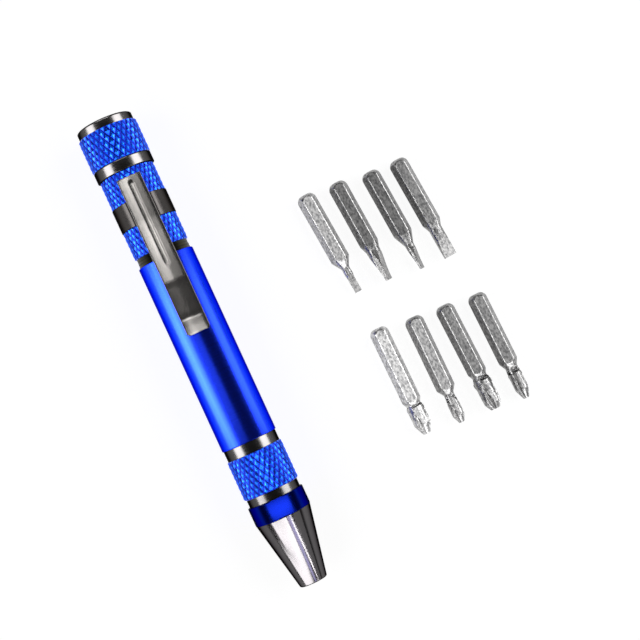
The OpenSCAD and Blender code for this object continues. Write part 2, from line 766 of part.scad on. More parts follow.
module bit_cross_2() {
    lay_cross(2) cross_bit(cross_c_neck_d, cross_c_tip_d, cross_c_point_d,
        0.64, 0.68, 0.73, 0.94, cross_c_roll);
}

module bit_cross_0() {
    lay_cross(3) cross_bit(cross_d_neck_d, cross_d_tip_d, cross_d_point_d,
        0.64, 0.7, 0.76, 0.91, cross_d_roll);
}

nose_cone();
bit_socket();
socket_magnet();
nose_collar();
front_tube();
grip_sleeve();
barrel();
bore_pad();
rear_core();
seal_ring();
rear_sleeve();
clip_band();
clip_arm();
bit_rack();
rack_pin();
tail_ring();
slip_washer();
cap_axle();
cap_bush();
cap_sleeve();
end_disc();
bit_slotted_1_5();
bit_slotted_3_0();
bit_slotted_2_0();
bit_slotted_3_5();
bit_cross_1();
bit_cross_00();
bit_cross_2();
bit_cross_0();
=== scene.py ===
"""Looks of the pocket screwdriver and its loose bits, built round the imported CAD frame.

Every mesh is laid out in millimetres in the frame's axes (+X out of the bit socket, +Z up
through the clip, +Y towards the bits) and scaled to metres when its object is made.
"""
import json
import math

import bpy
import numpy as np
from mathutils import Matrix, Vector


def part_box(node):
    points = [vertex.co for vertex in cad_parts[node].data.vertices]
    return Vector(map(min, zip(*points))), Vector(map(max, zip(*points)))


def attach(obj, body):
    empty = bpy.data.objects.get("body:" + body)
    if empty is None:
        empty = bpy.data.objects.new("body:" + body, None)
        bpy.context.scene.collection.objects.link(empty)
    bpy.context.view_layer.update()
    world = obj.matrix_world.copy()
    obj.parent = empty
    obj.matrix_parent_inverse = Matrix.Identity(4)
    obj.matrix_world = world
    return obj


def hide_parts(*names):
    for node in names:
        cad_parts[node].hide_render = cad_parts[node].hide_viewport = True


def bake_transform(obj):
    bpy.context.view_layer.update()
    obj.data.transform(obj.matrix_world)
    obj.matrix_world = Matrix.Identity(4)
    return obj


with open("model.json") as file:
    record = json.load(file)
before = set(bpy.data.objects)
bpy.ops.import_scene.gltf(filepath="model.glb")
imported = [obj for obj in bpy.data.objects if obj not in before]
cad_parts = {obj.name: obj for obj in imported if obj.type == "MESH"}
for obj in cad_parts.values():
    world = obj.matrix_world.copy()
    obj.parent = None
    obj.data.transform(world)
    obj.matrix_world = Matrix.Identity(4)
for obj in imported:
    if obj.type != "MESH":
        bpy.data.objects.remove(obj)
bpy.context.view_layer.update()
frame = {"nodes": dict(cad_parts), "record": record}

MM = 0.001
AROUND = 192


# Sizes read from the frame

def span(node):
    """Lowest and highest x of a node, and the radius of its top, in millimetres."""
    low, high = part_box(node)
    return low[0] / MM, high[0] / MM, high[2] / MM


CONE_REAR, _, CONE_R = span("nose_cone")
COLLAR_REAR, COLLAR_FRONT, COLLAR_R = span("nose_collar")
GRIP_REAR, GRIP_FRONT, GRIP_R = span("grip_sleeve")
TUBE_REAR, TUBE_FRONT, REAR_RING_R = span("front_tube")
BARREL_REAR, BARREL_FRONT, BARREL_R = span("barrel")
SLEEVE_REAR, SLEEVE_FRONT, SLEEVE_R = span("rear_sleeve")
TAIL_RING_REAR, TAIL_RING_FRONT, TAIL_RING_R = span("tail_ring")
CAP_REAR, CAP_FRONT, CAP_R = span("cap_sleeve")
DISC_REAR, DISC_FRONT, DISC_R = span("end_disc")
BUSH_REAR, _, BUSH_R = span("bit_socket")
CLIP_REAR, BAND_FRONT, CLIP_TOP_R = span("clip_band")
_, ARM_FRONT, _ = span("clip_arm")
FLOOR_Z = -CAP_R

# Sizes repeated from the part's source, in millimetres; FIT is the gap of its pressed fits
FIT = 0.02
TUBE_R = 6.09
BORE_R = 5.753
MOUTH_R = 3.27
SLEEVE_BORE_R = 5.2
TAIL_HOLE_R = 1.52
TAIL_WEB = 0.6
GROOVE_R = 6.013
BAND_R = 6.513
BAND_LEN = 5.6
BAND_OPEN_DEG = 28.0
CLIP_W = 5.5
ARM_LEN = 26.9
ARM_LIFT = 0.6
BEND_LIFT = 0.14
LIP_LIFT = 0.85
LIP_CORNER = 0.7
PRESS_W = 1.45
PRESS_DEPTH = 0.2
PRESS_LEN = 20.3
PRESS_INSET = 1.0
PRESS_FLANK = 0.75


# Meshes

def make_object(name, points, faces, material, sharp_deg=32.0):
    """A smooth-shaded object from points in millimetres, with sharp edges kept by angle."""
    mesh = bpy.data.meshes.new(name)
    mesh.from_pydata((np.asarray(points, dtype=float) * MM).tolist(), [], faces)
    mesh.update()
    mesh.validate()
    mesh.polygons.foreach_set("use_smooth", [True] * len(mesh.polygons))
    mesh.set_sharp_from_angle(angle=math.radians(sharp_deg))
    obj = bpy.data.objects.new(name, mesh)
    bpy.context.scene.collection.objects.link(obj)
    mesh.materials.append(material)
    return obj


def keep_flats(obj):
    """Weights the normals by face area, so that big flat faces stay flat beside small bevels."""
    modifier = obj.modifiers.new("flats", "WEIGHTED_NORMAL")
    modifier.keep_sharp = True
    modifier.weight = 90
    graph = bpy.context.evaluated_depsgraph_get()
    finished = bpy.data.meshes.new_from_object(obj.evaluated_get(graph))
    obj.modifiers.clear()
    old = obj.data
    obj.data = finished
    finished.name = old.name + "_finished"
    bpy.data.meshes.remove(old)


ROUNDING = 0.08
ROUNDING_STEPS = 4


def rounded(outline):
    """Rounds every corner of a closed outline of (x, radius[, rounding]) points."""
    count = len(outline)
    result = []
    for i in range(count):
        here = Vector(outline[i][:2])
        before = Vector(outline[i - 1][:2])
        after = Vector(outline[(i + 1) % count][:2])
        amount = outline[i][2] if len(outline[i]) > 2 else ROUNDING
        to_before = before - here
        to_after = after - here
        reach = min(amount, to_before.length * 0.45, to_after.length * 0.45)
        if reach < 1e-4 or here.y < 1e-6:
            result.append(tuple(here))
            continue
        start = here + to_before.normalized() * reach
        end = here + to_after.normalized() * reach
        for k in range(ROUNDING_STEPS + 1):
            t = k / ROUNDING_STEPS
            point = start * (1 - t) ** 2 + here * 2 * t * (1 - t) + end * t ** 2
            result.append(tuple(point))
    return result


def ring_faces(rows, around, closed):
    """Quads between rows of points round an axis, with the last row joined to the first if closed."""
    faces = []
    for j in range(rows if closed else rows - 1):
        a = j * around
        b = (j + 1) % rows * around
        for i in range(around):
            k = (i + 1) % around
            faces.append((a + i, a + k, b + k, b + i))
    return faces


def ride_as(obj, body, slot, *nodes):
    """Fixes a piece to its body and hides the CAD nodes that it stands in for; slot is not used."""
    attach(obj, body)
    if nodes:
        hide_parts(*nodes)
    return obj


def circle_row(x, r, angles):
    """Points at station x on a circle, or on a closed line where r has one radius for each angle."""
    return np.column_stack([np.full(len(angles), x), r * np.sin(angles), r * np.cos(angles)])


def turned(name, outline, material):
    """A closed solid of revolution about X. A point with radius 0 becomes a pole."""
    angles = np.linspace(0, 2 * math.pi, AROUND, endpoint=False)
    outer = rounded(outline)
    shape = [p for p in outer if p[1] > 1e-6]
    points = np.concatenate([circle_row(x, r, angles) for x, r in shape])
    if len(shape) == len(outer):
        return make_object(name, points, ring_faces(len(shape), AROUND, True), material)
    faces = ring_faces(len(shape), AROUND, False)
    first = len(points)
    poles = [[shape[0][0], 0, 0], [shape[-1][0], 0, 0]]
    points = np.vstack([points, poles])
    last_row = (len(shape) - 1) * AROUND
    for i in range(AROUND):
        k = (i + 1) % AROUND
        faces.append((first, k, i))
        faces.append((first + 1, last_row + i, last_row + k))
    return make_object(name, points, faces, material)


# Knurled sleeves

KNURL_ROUND = 32
KNURL_PITCH = 2.52
KNURL_DEPTH = 0.22
KNURL_STEPS = 16
KNURL_STEPS_ALONG = 24
KNURL_BEVEL = 0.25
KNURL_CREST = 0.88
FLAT_EDGE = 0.01


def knurl_height(turn, along):
    """Height from 0 in the grooves to 1 on the crests, for two crossing families of grooves."""
    def ridge(s):
        return 1 - np.abs(2 * (s - np.floor(s)) - 1)
    return np.minimum(1, np.minimum(ridge(turn + along), ridge(turn - along)) / KNURL_CREST)


def knurled(name, x_from, x_to, inner_r, crest_r, material, flats=()):
    """A sleeve with a diamond knurl. flats are (x_from, x_to, radius) stretches turned down smooth."""
    around = KNURL_ROUND * KNURL_STEPS
    step = KNURL_PITCH / KNURL_STEPS_ALONG
    stations = set(np.linspace(x_from, x_to, int((x_to - x_from) / step) + 1))
    for low, high, _ in flats:
        stations = {x for x in stations if not low - 0.4 * step < x < high + 0.4 * step}
        stations |= {low, low + FLAT_EDGE, high - FLAT_EDGE, high}
    xs = np.array(sorted(stations))
    turns = np.arange(around) / KNURL_STEPS
    height = knurl_height(turns[None, :], (xs[:, None] - x_from) / KNURL_PITCH)
    radius = crest_r - KNURL_DEPTH * (1 - height)
    edge = np.minimum(xs - x_from, x_to - xs)[:, None]
    radius = np.minimum(radius, crest_r - KNURL_BEVEL + edge)
    for low, high, flat_r in flats:
        inside = (xs > low + FLAT_EDGE / 2) & (xs < high - FLAT_EDGE / 2)
        radius[inside] = flat_r
    angles = turns / KNURL_ROUND * 2 * math.pi
    rows = [circle_row(x, r, angles) for x, r in zip(xs, radius)]
    outer = len(rows)
    rows += [circle_row(x, inner_r, angles) for x in (x_to, x_from)]
    points = np.concatenate(rows)
    heights = np.vstack([height, np.zeros((2, around))])
    total = len(rows)
    faces = []
    for j in range(total):
        a = j * around
        n = (j + 1) % total
        b = n * around
        for i in range(around):
            k = (i + 1) % around
            if j >= outer - 1:
                faces.append((a + i, a + k, b + k, b + i))
            elif radius[j, i] + radius[n, k] < radius[j, k] + radius[n, i]:
                faces.append((a + i, a + k, b + k))
                faces.append((a + i, b + k, b + i))
            else:
                faces.append((a + i, a + k, b + i))
                faces.append((a + k, b + k, b + i))
    obj = make_object(name, points, faces, material, sharp_deg=28.0)
    # Crest height kept on the mesh; the knurl material uses it to paint shade in the pits and a highlight
    # on the crests
    level = obj.data.attributes.new("crest", "FLOAT", "POINT")
    level.data.foreach_set("value", heights.ravel())
    return obj


# Materials

def new_material(name):
    material = bpy.data.materials.new(name)
    material.use_nodes = True
    tree = material.node_tree
    return material, tree, tree.nodes["Principled BSDF"]


def add(tree, kind, **settings):
    """A node with its attributes set, or its inputs where the setting names one."""
    node = tree.nodes.new(kind)
    for key, value in settings.items():
        if hasattr(node, key):
            setattr(node, key, value)
        else:
            node.inputs[key.replace("_", " ")].default_value = value
    return node


def noise(tree, vector, scale, detail=3.0, stretch=(1, 1, 1)):
    """Noise over object coordinates in millimetres, stretched by a factor along each axis."""
    mapping = add(tree, "ShaderNodeMapping")
    mapping.inputs["Scale"].default_value = [s / MM for s in stretch]
    tree.links.new(vector, mapping.inputs["Vector"])
    texture = add(tree, "ShaderNodeTexNoise", Scale=scale, Detail=detail)
    tree.links.new(mapping.outputs["Vector"], texture.inputs["Vector"])
    return texture.outputs["Fac"]


def ranged(tree, value, low, high):
    node = add(tree, "ShaderNodeMapRange")
    node.inputs["To Min"].default_value = low
    node.inputs["To Max"].default_value = high
    tree.links.new(value, node.inputs["Value"])
    return node.outputs["Result"]


def mixed(tree, factor, color_a, color_b):
    node = add(tree, "ShaderNodeMix", data_type="RGBA")
    node.inputs["A"].default_value = (*color_a, 1)
    node.inputs["B"].default_value = (*color_b, 1)
    tree.links.new(factor, node.inputs["Factor"])
    return node.outputs["Result"]


def bumped(tree, shader, value, distance):
    """Bump of the given depth in millimetres."""
    node = add(tree, "ShaderNodeBump")
    node.inputs["Strength"].default_value = 1.0
    node.inputs["Distance"].default_value = distance * MM
    tree.links.new(value, node.inputs["Height"])
    tree.links.new(node.outputs["Normal"], shader.inputs["Normal"])


def metal(name, color, rough, grain=(1, 1, 1), grain_depth=0.003, tone=0.06, edge_tint=1.0):
    """A metal whose grain runs where the stretch is small: (9, 0, 0) gives fine turned lines about X."""
    material, tree, shader = new_material(name)
    vector = add(tree, "ShaderNodeTexCoord").outputs["Object"]
    lines = noise(tree, vector, 2.0, 4.0, grain)
    clouds = noise(tree, vector, 0.35, 2.0)
    dark = [c * (1 - tone) for c in color]
    light = [min(1, c * (1 + tone)) for c in color]
    tree.links.new(mixed(tree, clouds, dark, light), shader.inputs["Base Color"])
    tree.links.new(ranged(tree, lines, rough * 0.8, rough * 1.2), shader.inputs["Roughness"])
    shader.inputs["Metallic"].default_value = 1.0
    shader.inputs["Specular Tint"].default_value = (edge_tint, edge_tint, edge_tint, 1)
    bumped(tree, shader, lines, grain_depth)
    return material


def knurl_metal(name, painted_crest_highlight, body_color, painted_pit_shade, rough):
    """Anodised knurl with painted light: a darker colour in its pits is painted shade, and a lighter colour
    on its crests is a painted highlight.
    """
    material, tree, shader = new_material(name)
    vector = add(tree, "ShaderNodeTexCoord").outputs["Object"]
    level = add(tree, "ShaderNodeAttribute", attribute_name="crest")
    # Painted light by crest height: painted shade in the pits, a painted highlight on the crests
    ramp = add(tree, "ShaderNodeValToRGB")
    ramp.color_ramp.elements[0].position = 0.12
    ramp.color_ramp.elements[0].color = (*painted_pit_shade, 1)
    ramp.color_ramp.elements[1].position = 0.97
    ramp.color_ramp.elements[1].color = (*painted_crest_highlight, 1)
    middle = ramp.color_ramp.elements.new(0.58)
    middle.color = (*body_color, 1)
    tree.links.new(level.outputs["Fac"], ramp.inputs["Fac"])
    tree.links.new(ramp.outputs["Color"], shader.inputs["Base Color"])
    grain = noise(tree, vector, 3.0, 4.0)
    tree.links.new(ranged(tree, grain, rough * 0.8, rough * 1.25), shader.inputs["Roughness"])
    shader.inputs["Metallic"].default_value = 1.0
    shader.inputs["Coat Weight"].default_value = 0.2
    shader.inputs["Coat Roughness"].default_value = 0.2
    bumped(tree, shader, grain, 0.01)
    return material


def moulded(name, color, rough, depth=0.012):
    material, tree, shader = new_material(name)
    vector = add(tree, "ShaderNodeTexCoord").outputs["Object"]
    grain = noise(tree, vector, 6.0, 5.0)
    clouds = noise(tree, vector, 0.6, 2.0)
    light = [min(1, c * 1.15 + 0.004) for c in color]
    tree.links.new(mixed(tree, clouds, color, light), shader.inputs["Base Color"])
    tree.links.new(ranged(tree, grain, rough * 0.85, min(1, rough * 1.15)), shader.inputs["Roughness"])
    bumped(tree, shader, grain, depth)
    return material


TURNED_LINES = (6, 0, 0)
FINE_TURNED_LINES = (14, 0, 0)

MATERIALS = {
    "cone_steel": metal("cone_steel", (0.1, 0.095, 0.098), 0.15, FINE_TURNED_LINES, grain_depth=0.001,
                        tone=0.03, edge_tint=0.1),
    "socket_steel": metal("socket_steel", (0.3, 0.3, 0.32), 0.35, TURNED_LINES, grain_depth=0.004),
    "magnet": metal("magnet", (0.6, 0.6, 0.63), 0.2, grain_depth=0.002),
    "collar_blue": metal("collar_blue", (0.002, 0.01, 0.22), 0.24, FINE_TURNED_LINES, grain_depth=0.001,
                         edge_tint=0.05),
    "nickel": metal("nickel", (0.07, 0.067, 0.067), 0.22, FINE_TURNED_LINES, grain_depth=0.0008,
                    tone=0.02, edge_tint=0.05),
    "barrel_blue": metal("barrel_blue", (0.016, 0.052, 1.0), 0.27, FINE_TURNED_LINES, grain_depth=0.001,
                         tone=0.04, edge_tint=0.15),
    # The knurl's pit colour is painted shade and its crest colour a painted highlight
    "grip_blue": knurl_metal("grip_blue", painted_crest_highlight=(0.012, 0.22, 1.0), body_color=(0.003, 0.09, 1.0),
                             painted_pit_shade=(0.001, 0.01, 0.35), rough=0.26),
    "pad_rubber": moulded("pad_rubber", (0.02, 0.02, 0.02), 0.8),
    "core_metal": metal("core_metal", (0.055, 0.052, 0.035), 0.42, TURNED_LINES, grain_depth=0.004),
    "seal_rubber": moulded("seal_rubber", (0.012, 0.012, 0.012), 0.55, 0.006),
    "band_steel": metal("band_steel", (0.06, 0.056, 0.054), 0.28, (0.4, 5, 5), grain_depth=0.002,
                        tone=0.1, edge_tint=0.1),
    "clip_steel": metal("clip_steel", (0.45, 0.43, 0.41), 0.25, (0.3, 3, 1), grain_depth=0.0006,
                        tone=0.03),
    "rack_plastic": moulded("rack_plastic", (0.02, 0.021, 0.024), 0.5),
    "pin_steel": metal("pin_steel", (0.5, 0.5, 0.5), 0.25, (4, 0.5, 4), grain_depth=0.003),
    "washer_plastic": moulded("washer_plastic", (0.75, 0.74, 0.7), 0.45),
    "axle_steel": metal("axle_steel", (0.5, 0.5, 0.5), 0.25, TURNED_LINES, grain_depth=0.003),
    "bush_brass": metal("bush_brass", (0.8, 0.58, 0.25), 0.25, TURNED_LINES, grain_depth=0.003),
}


def bit_steel(name, tone):
    """Plated bit steel: fine lengthwise grain, small scuffs and a tone of its own."""
    material, tree, shader = new_material(name)
    vector = add(tree, "ShaderNodeTexCoord").outputs["Object"]
    grain = noise(tree, vector, 2.0, 5.0, (0.6, 6, 6))
    scuffs = noise(tree, vector, 1.9, 6.0, (0.8, 1.2, 1.2))
    dark = [tone * c for c in (0.5, 0.5, 0.51)]
    light = [min(1, tone * c) for c in (1.3, 1.29, 1.28)]
    ramp = add(tree, "ShaderNodeValToRGB")
    ramp.color_ramp.elements[0].position = 0.36
    ramp.color_ramp.elements[0].color = (*dark, 1)
    ramp.color_ramp.elements[1].position = 0.62
    ramp.color_ramp.elements[1].color = (*light, 1)
    tree.links.new(scuffs, ramp.inputs["Fac"])
    tree.links.new(ramp.outputs["Color"], shader.inputs["Base Color"])
    tree.links.new(ranged(tree, grain, 0.26, 0.38), shader.inputs["Roughness"])
    shader.inputs["Metallic"].default_value = 1.0
    bumped(tree, shader, grain, 0.002)
    return material


# Pen: turned pieces, as outlines of (x, radius[, rounding])

SEAT_ROUND = 0.02


def add_turned_pieces():
    mouth_step = 0.2
    ride_as(turned("cone", [
        (CONE_REAR, 0.0), (CONE_REAR, BORE_R), (COLLAR_FRONT, BORE_R), (COLLAR_FRONT, CONE_R, 0.12),
        (-mouth_step, MOUTH_R, 0.03), (0, MOUTH_R - mouth_step, 0.03), (0, BUSH_R + FIT, 0.03),
        (BUSH_REAR - FIT, BUSH_R + FIT), (BUSH_REAR - FIT, 0.0)
    ], MATERIALS["cone_steel"]), "handle", "cone_steel", "nose_cone")

    ride_as(turned("collar", [
        (COLLAR_REAR, TUBE_R + FIT, SEAT_ROUND), (COLLAR_REAR, COLLAR_R, 0.18),
        (COLLAR_FRONT, COLLAR_R, 0.18), (COLLAR_FRONT, TUBE_R + FIT, SEAT_ROUND)
    ], MATERIALS["collar_blue"]), "handle", "collar_blue", "nose_collar")

    ride_as(turned("front_rings", [
        (TUBE_REAR, BORE_R, SEAT_ROUND), (TUBE_REAR, TUBE_R, 0.05), (BARREL_FRONT, TUBE_R, SEAT_ROUND),
        (BARREL_FRONT, REAR_RING_R, 0.06), (GRIP_REAR, REAR_RING_R, 0.06), (GRIP_REAR, TUBE_R, SEAT_ROUND),
        (TUBE_FRONT, TUBE_R, SEAT_ROUND), (TUBE_FRONT, BORE_R, SEAT_ROUND)
    ], MATERIALS["nickel"]), "handle", "nickel", "front_tube")

    seat = TUBE_REAR - FIT
    ride_as(turned("barrel_shell", [
        (BARREL_REAR, BORE_R, 0.03), (BARREL_REAR, BARREL_R, 0.2), (BARREL_FRONT, BARREL_R, 0.2),
        (BARREL_FRONT, TUBE_R + FIT, SEAT_ROUND), (seat, TUBE_R + FIT, SEAT_ROUND),
        (seat, BORE_R, SEAT_ROUND)
    ], MATERIALS["barrel_blue"]), "handle", "barrel_blue", "barrel")

    ride_as(turned("tail_ring_bright", [
        (TAIL_RING_REAR, TAIL_HOLE_R, 0.05), (TAIL_RING_REAR, TAIL_RING_R, 0.16),
        (TAIL_RING_FRONT, TAIL_RING_R, 0.16), (TAIL_RING_FRONT, SLEEVE_BORE_R + FIT, SEAT_ROUND),
        (TAIL_RING_REAR + TAIL_WEB, SLEEVE_BORE_R + FIT, SEAT_ROUND),
        (TAIL_RING_REAR + TAIL_WEB, TAIL_HOLE_R, SEAT_ROUND)
    ], MATERIALS["nickel"]), "rear_section", "nickel", "tail_ring")

    slope_in = 0.45
    slope_len = 0.3
    ride_as(turned("end_disc_bright", [
        (DISC_REAR, 0.0), (DISC_REAR, DISC_R - slope_in, 0.12), (DISC_REAR + slope_len, DISC_R, 0.16),
        (CAP_REAR, DISC_R, 0.04), (CAP_REAR, SLEEVE_BORE_R - FIT, SEAT_ROUND),
        (DISC_FRONT, SLEEVE_BORE_R - FIT, 0.05), (DISC_FRONT, 0.0)
    ], MATERIALS["nickel"]), "tail_cap", "nickel", "end_disc")


def add_knurls():
    band_rear = BAND_FRONT + FIT - BAND_LEN
    blue = MATERIALS["grip_blue"]
    ride_as(knurled("grip_knurl", GRIP_REAR, GRIP_FRONT, TUBE_R + FIT, GRIP_R, blue),
            "handle", "grip_blue", "grip_sleeve")
    ride_as(knurled("rear_knurl", SLEEVE_REAR, SLEEVE_FRONT, SLEEVE_BORE_R + FIT, SLEEVE_R, blue,
                    [(band_rear, BAND_FRONT + FIT, GROOVE_R)]),
            "rear_section", "grip_blue", "rear_sleeve")
    ride_as(knurled("cap_knurl", CAP_REAR, CAP_FRONT, SLEEVE_BORE_R, CAP_R, blue),
            "tail_cap", "grip_blue", "cap_sleeve")


# Clip

def eased(start, end, t):
    return start + (end - start) * (1 - math.cos(math.pi * t)) / 2


# Height of the strip over its level at the band, at shares of the arm's length: it climbs to the
# first bend, steps down to the flat facet, steps down again and turns up in the lip
ARM_SHARES = [-1.0, 0.0, 0.1, 0.3, 0.54, 0.575, 0.825, 0.86, 0.93, 1.0]
ARM_HEIGHTS = [0.0, 0.0, 0.09, 0.36, ARM_LIFT, 0.49, 0.25, BEND_LIFT, 0.53, LIP_LIFT]
BEND_BLUR = 0.5


def arm_height(x):
    """Height of the strip over its level at the band, with each bend rounded."""
    places = np.linspace(x - BEND_BLUR, x + BEND_BLUR, 9)
    shares = np.minimum(1, (places - BAND_FRONT - FIT) / ARM_LEN)
    return float(np.mean(np.interp(shares, ARM_SHARES, ARM_HEIGHTS)))


def strip_half_width(x):
    left = ARM_FRONT - x
    if left >= LIP_CORNER:
        return CLIP_W / 2
    return CLIP_W / 2 - LIP_CORNER + math.sqrt(max(0, LIP_CORNER ** 2 - (LIP_CORNER - left) ** 2))


def press_at(x, y):
    """Depth of the pressed groove, with soft flanks."""
    half = PRESS_W / 2
    low = CLIP_REAR + PRESS_INSET + half
    high = CLIP_REAR + PRESS_INSET + PRESS_LEN - half
    off = math.hypot(max(0, low - x, x - high), y)
    t = max(0, min(1, (half - off) / (half * PRESS_FLANK)))
    return PRESS_DEPTH * t * t * (3 - 2 * t)


def strip_section(x, inset):
    """One closed section of the strip: its arched top, its rounded edges and its underside."""
    half = strip_half_width(x) - inset
    lift = arm_height(x)
    edge = 0.13
    inner = [0, 0.18, 0.36, 0.45, 0.53, 0.62, PRESS_W / 2, 0.95, 1.4, 1.9]
    ys = [y for y in inner if y < half - 2 * edge]
    ys = ys + [half - 2 * edge] * (len(inner) - len(ys))
    ys = [-y for y in reversed(ys[1:])] + ys
    top = [(y, lift + math.sqrt(CLIP_TOP_R ** 2 - y * y) - press_at(x, y) - inset) for y in ys]
    base = [(y, lift + math.sqrt(BAND_R ** 2 - y * y) + inset * 0.4) for y in reversed(ys)]
    top_z = lift + math.sqrt(CLIP_TOP_R ** 2 - half * half) - inset
    base_z = lift + math.sqrt(BAND_R ** 2 - half * half) + inset * 0.4
    right = [(half - edge, top_z + 0.05), (half - 0.3 * edge, top_z - 0.3 * edge + 0.03),
             (half, top_z - edge), (half, base_z + 0.5 * edge), (half - 0.6 * edge, base_z)]
    left = [(-y, z) for y, z in reversed(right)]
    return [(x, y, z) for y, z in top + right + base + left]


def add_clip_strip():
    """The strip from its square end on the band to its lip, in one piece that bends at the band's front."""
    steps = 150
    edge = 0.1
    xs = list(np.linspace(CLIP_REAR + edge, ARM_FRONT - LIP_CORNER, steps))
    xs += [ARM_FRONT - LIP_CORNER * (1 - math.sin(math.radians(a))) for a in (20, 40, 58, 72, 83)]
    sections = [strip_section(CLIP_REAR, edge)]
    sections += [strip_section(CLIP_REAR + edge * 0.3, edge * 0.35)]
    sections += [strip_section(x, 0) for x in xs]
    sections += [strip_section(ARM_FRONT - 0.01, edge)]
    across = len(sections[0])
    points = [p for section in sections for p in section]
    faces = [tuple(reversed(face)) for face in ring_faces(len(sections), across, False)]
    last = (len(sections) - 1) * across
    faces.append(tuple(range(across)))
    faces.append(tuple(last + i for i in reversed(range(across))))
    strip = make_object("clip_strip", points, faces, MATERIALS["clip_steel"], sharp_deg=40.0)
    keep_flats(strip)
    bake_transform(strip)
    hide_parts("clip_arm")


def add_clip_band():
    """The band's two wings: sheet round the handle that folds down from under the strip's edges."""
    x_low = BAND_FRONT + FIT - BAND_LEN
    x_high = BAND_FRONT
    fold_in = 0.35
    fold_deg = math.degrees(math.asin((CLIP_W / 2 - fold_in) / BAND_R))
    # Angle round the band from the strip's middle, and rise over the band's own radius, down the fold
    path = [(fold_deg - 3, 0.38), (fold_deg, 0.37), (fold_deg + 2.2, 0.33), (fold_deg + 3.6, 0.2),
            (fold_deg + 4.8, 0.06), (fold_deg + 6.2, 0.0)]
    path += [(a, 0.0) for a in np.linspace(fold_deg + 9, 180 - BAND_OPEN_DEG, 44)]
    bevel = 0.1
    thick = BAND_R - GROOVE_R - FIT
    for side, label in ((1, "right"), (-1, "left")):
        rows = []
        for index, (angle, rise) in enumerate(path):
            r = BAND_R + rise
            a = math.radians(angle) * side
            last_one = index == len(path) - 1
            low, high = (x_low + bevel, x_high - bevel) if last_one else (x_low, x_high)
            outer = r - bevel if last_one else r
            section = [(low, r - thick), (low, outer - bevel), (low + bevel * 0.3, outer - bevel * 0.3),
                       (low + bevel, outer), (high - bevel, outer),
                       (high - bevel * 0.3, outer - bevel * 0.3), (high, outer - bevel), (high, r - thick)]
            rows.append([(x, q * math.sin(a), q * math.cos(a)) for x, q in section])
        count = len(rows[0])
        points = [p for row in rows for p in row]
        faces = ring_faces(len(rows), count, False)
        if side > 0:
            faces = [tuple(reversed(face)) for face in faces]
        end = (len(rows) - 1) * count
        caps = [tuple(range(count)), tuple(end + i for i in reversed(range(count)))]
        if side < 0:
            caps = [tuple(reversed(cap)) for cap in caps]
        wing = make_object("band_wing_" + label, points, faces + caps, MATERIALS["band_steel"],
                           sharp_deg=40.0)
        keep_flats(wing)
        ride_as(wing, "rear_section", "band_steel", "clip_band")


# Bits: sizes repeated from the part's source, in millimetres, and the number of points round a bit

BIT_AF = 4.0
BUTT_LEN = 1.9
BUTT_DRAW = 1.1
SLOTTED_LEN = 25.2
CROSS_LEN = 26.4
BIT_PITCH = 7.8
CORNER_BREAK = 0.06
CORNER_R = BIT_AF / 2 / math.cos(math.radians(30))
NECK_BLEND = 0.25
SHOULDER_BEVEL = 0.05
BLADE_BEVEL = 0.06
POINT_BEVEL = 0.05
PER_SECTOR = 16
BIT_AROUND = 6 * PER_SECTOR


def hex_radius(deg):
    """Radius of the shank's hexagon, with flats up and down and slightly broken corners."""
    off = (deg + 30) % 60 - 30
    return min(BIT_AF / 2 / math.cos(math.radians(off)), CORNER_R - CORNER_BREAK)


def hex_angles():
    """Angles round the shank, measured from the top, that meet the edges of its broken corners."""
    edge = math.degrees(math.acos(BIT_AF / 2 / (CORNER_R - CORNER_BREAK)))
    inner = list(np.linspace(-edge, edge, PER_SECTOR - 1))
    return [60 * s + a for s in range(6) for a in [-30.0] + inner]


def circle_ring(x, r, angles):
    return [(x, r * math.sin(math.radians(a)), r * math.cos(math.radians(a))) for a in angles]


def matched(angles, target):
    """Shifts a ring's order so that its first point stands nearest to the target angle."""
    gaps = [abs((a - target + 180) % 360 - 180) for a in angles]
    start = gaps.index(min(gaps))
    turned_list = angles[start:] + [a + 360 for a in angles[:start]]
    shift = round((turned_list[0] - target) / 360) * 360
    return [a - shift for a in turned_list]


def shank_rings(shank_len, neck_x, neck_r):
    """Rings of the shank from its domed butt to the cone of its shoulder, and their angles."""
    butt_r = BIT_AF / 2 - BUTT_DRAW
    angles = hex_angles()
    rings = [circle_ring(0.0, butt_r * share, angles) for share in (0.5, 1.0)]

    def ring(place):
        return [(x, r * math.sin(math.radians(a)), r * math.cos(math.radians(a)))
                for a in angles for x, r in [place(hex_radius(a))]]

    def dome_x(r):
        return BUTT_LEN * (1 - math.sqrt(max(0, 1 - ((r - butt_r) / (CORNER_R - butt_r)) ** 2)))

    def shoulder_x(r):
        return shank_len + (neck_x - shank_len) * (CORNER_R - r) / (CORNER_R - neck_r)

    slope = (CORNER_R - neck_r) / (neck_x - shank_len)
    for share in (0.3, 0.55, 0.75, 0.88, 0.96, 1.0):
        rings.append(ring(lambda r: (dome_x(butt_r + (r - butt_r) * share), butt_r + (r - butt_r) * share)))
    rings.append(ring(lambda r: (dome_x(r) + 0.3, r)))
    rings.append(ring(lambda r: (shoulder_x(r) - 0.3, r)))
    rings.append(ring(lambda r: (shoulder_x(r) - SHOULDER_BEVEL, r)))
    rings.append(ring(lambda r: (shoulder_x(r) + SHOULDER_BEVEL, r - SHOULDER_BEVEL * slope)))
    return rings, angles


def neck_rings(x_from, r_from, x_to, r_to, angles_from, angles_to, steps):
    """Rings between two radii whose points ease round from one set of angles to the other."""
    rings = []
    for k in range(1, steps + 1):
        t = k / steps
        r = eased(r_from, r_to, t)
        angles = [a + (b - a) * t for a, b in zip(angles_from, angles_to)]
        rings.append(circle_ring(x_from + (x_to - x_from) * t, r, angles))
    return rings


def rolled(points, roll):
    """Turns (across, up) points by the roll angle, from the top towards +Y."""
    c, s = math.cos(math.radians(roll)), math.sin(math.radians(roll))
    return [(y * c + z * s, z * c - y * s) for y, z in points]


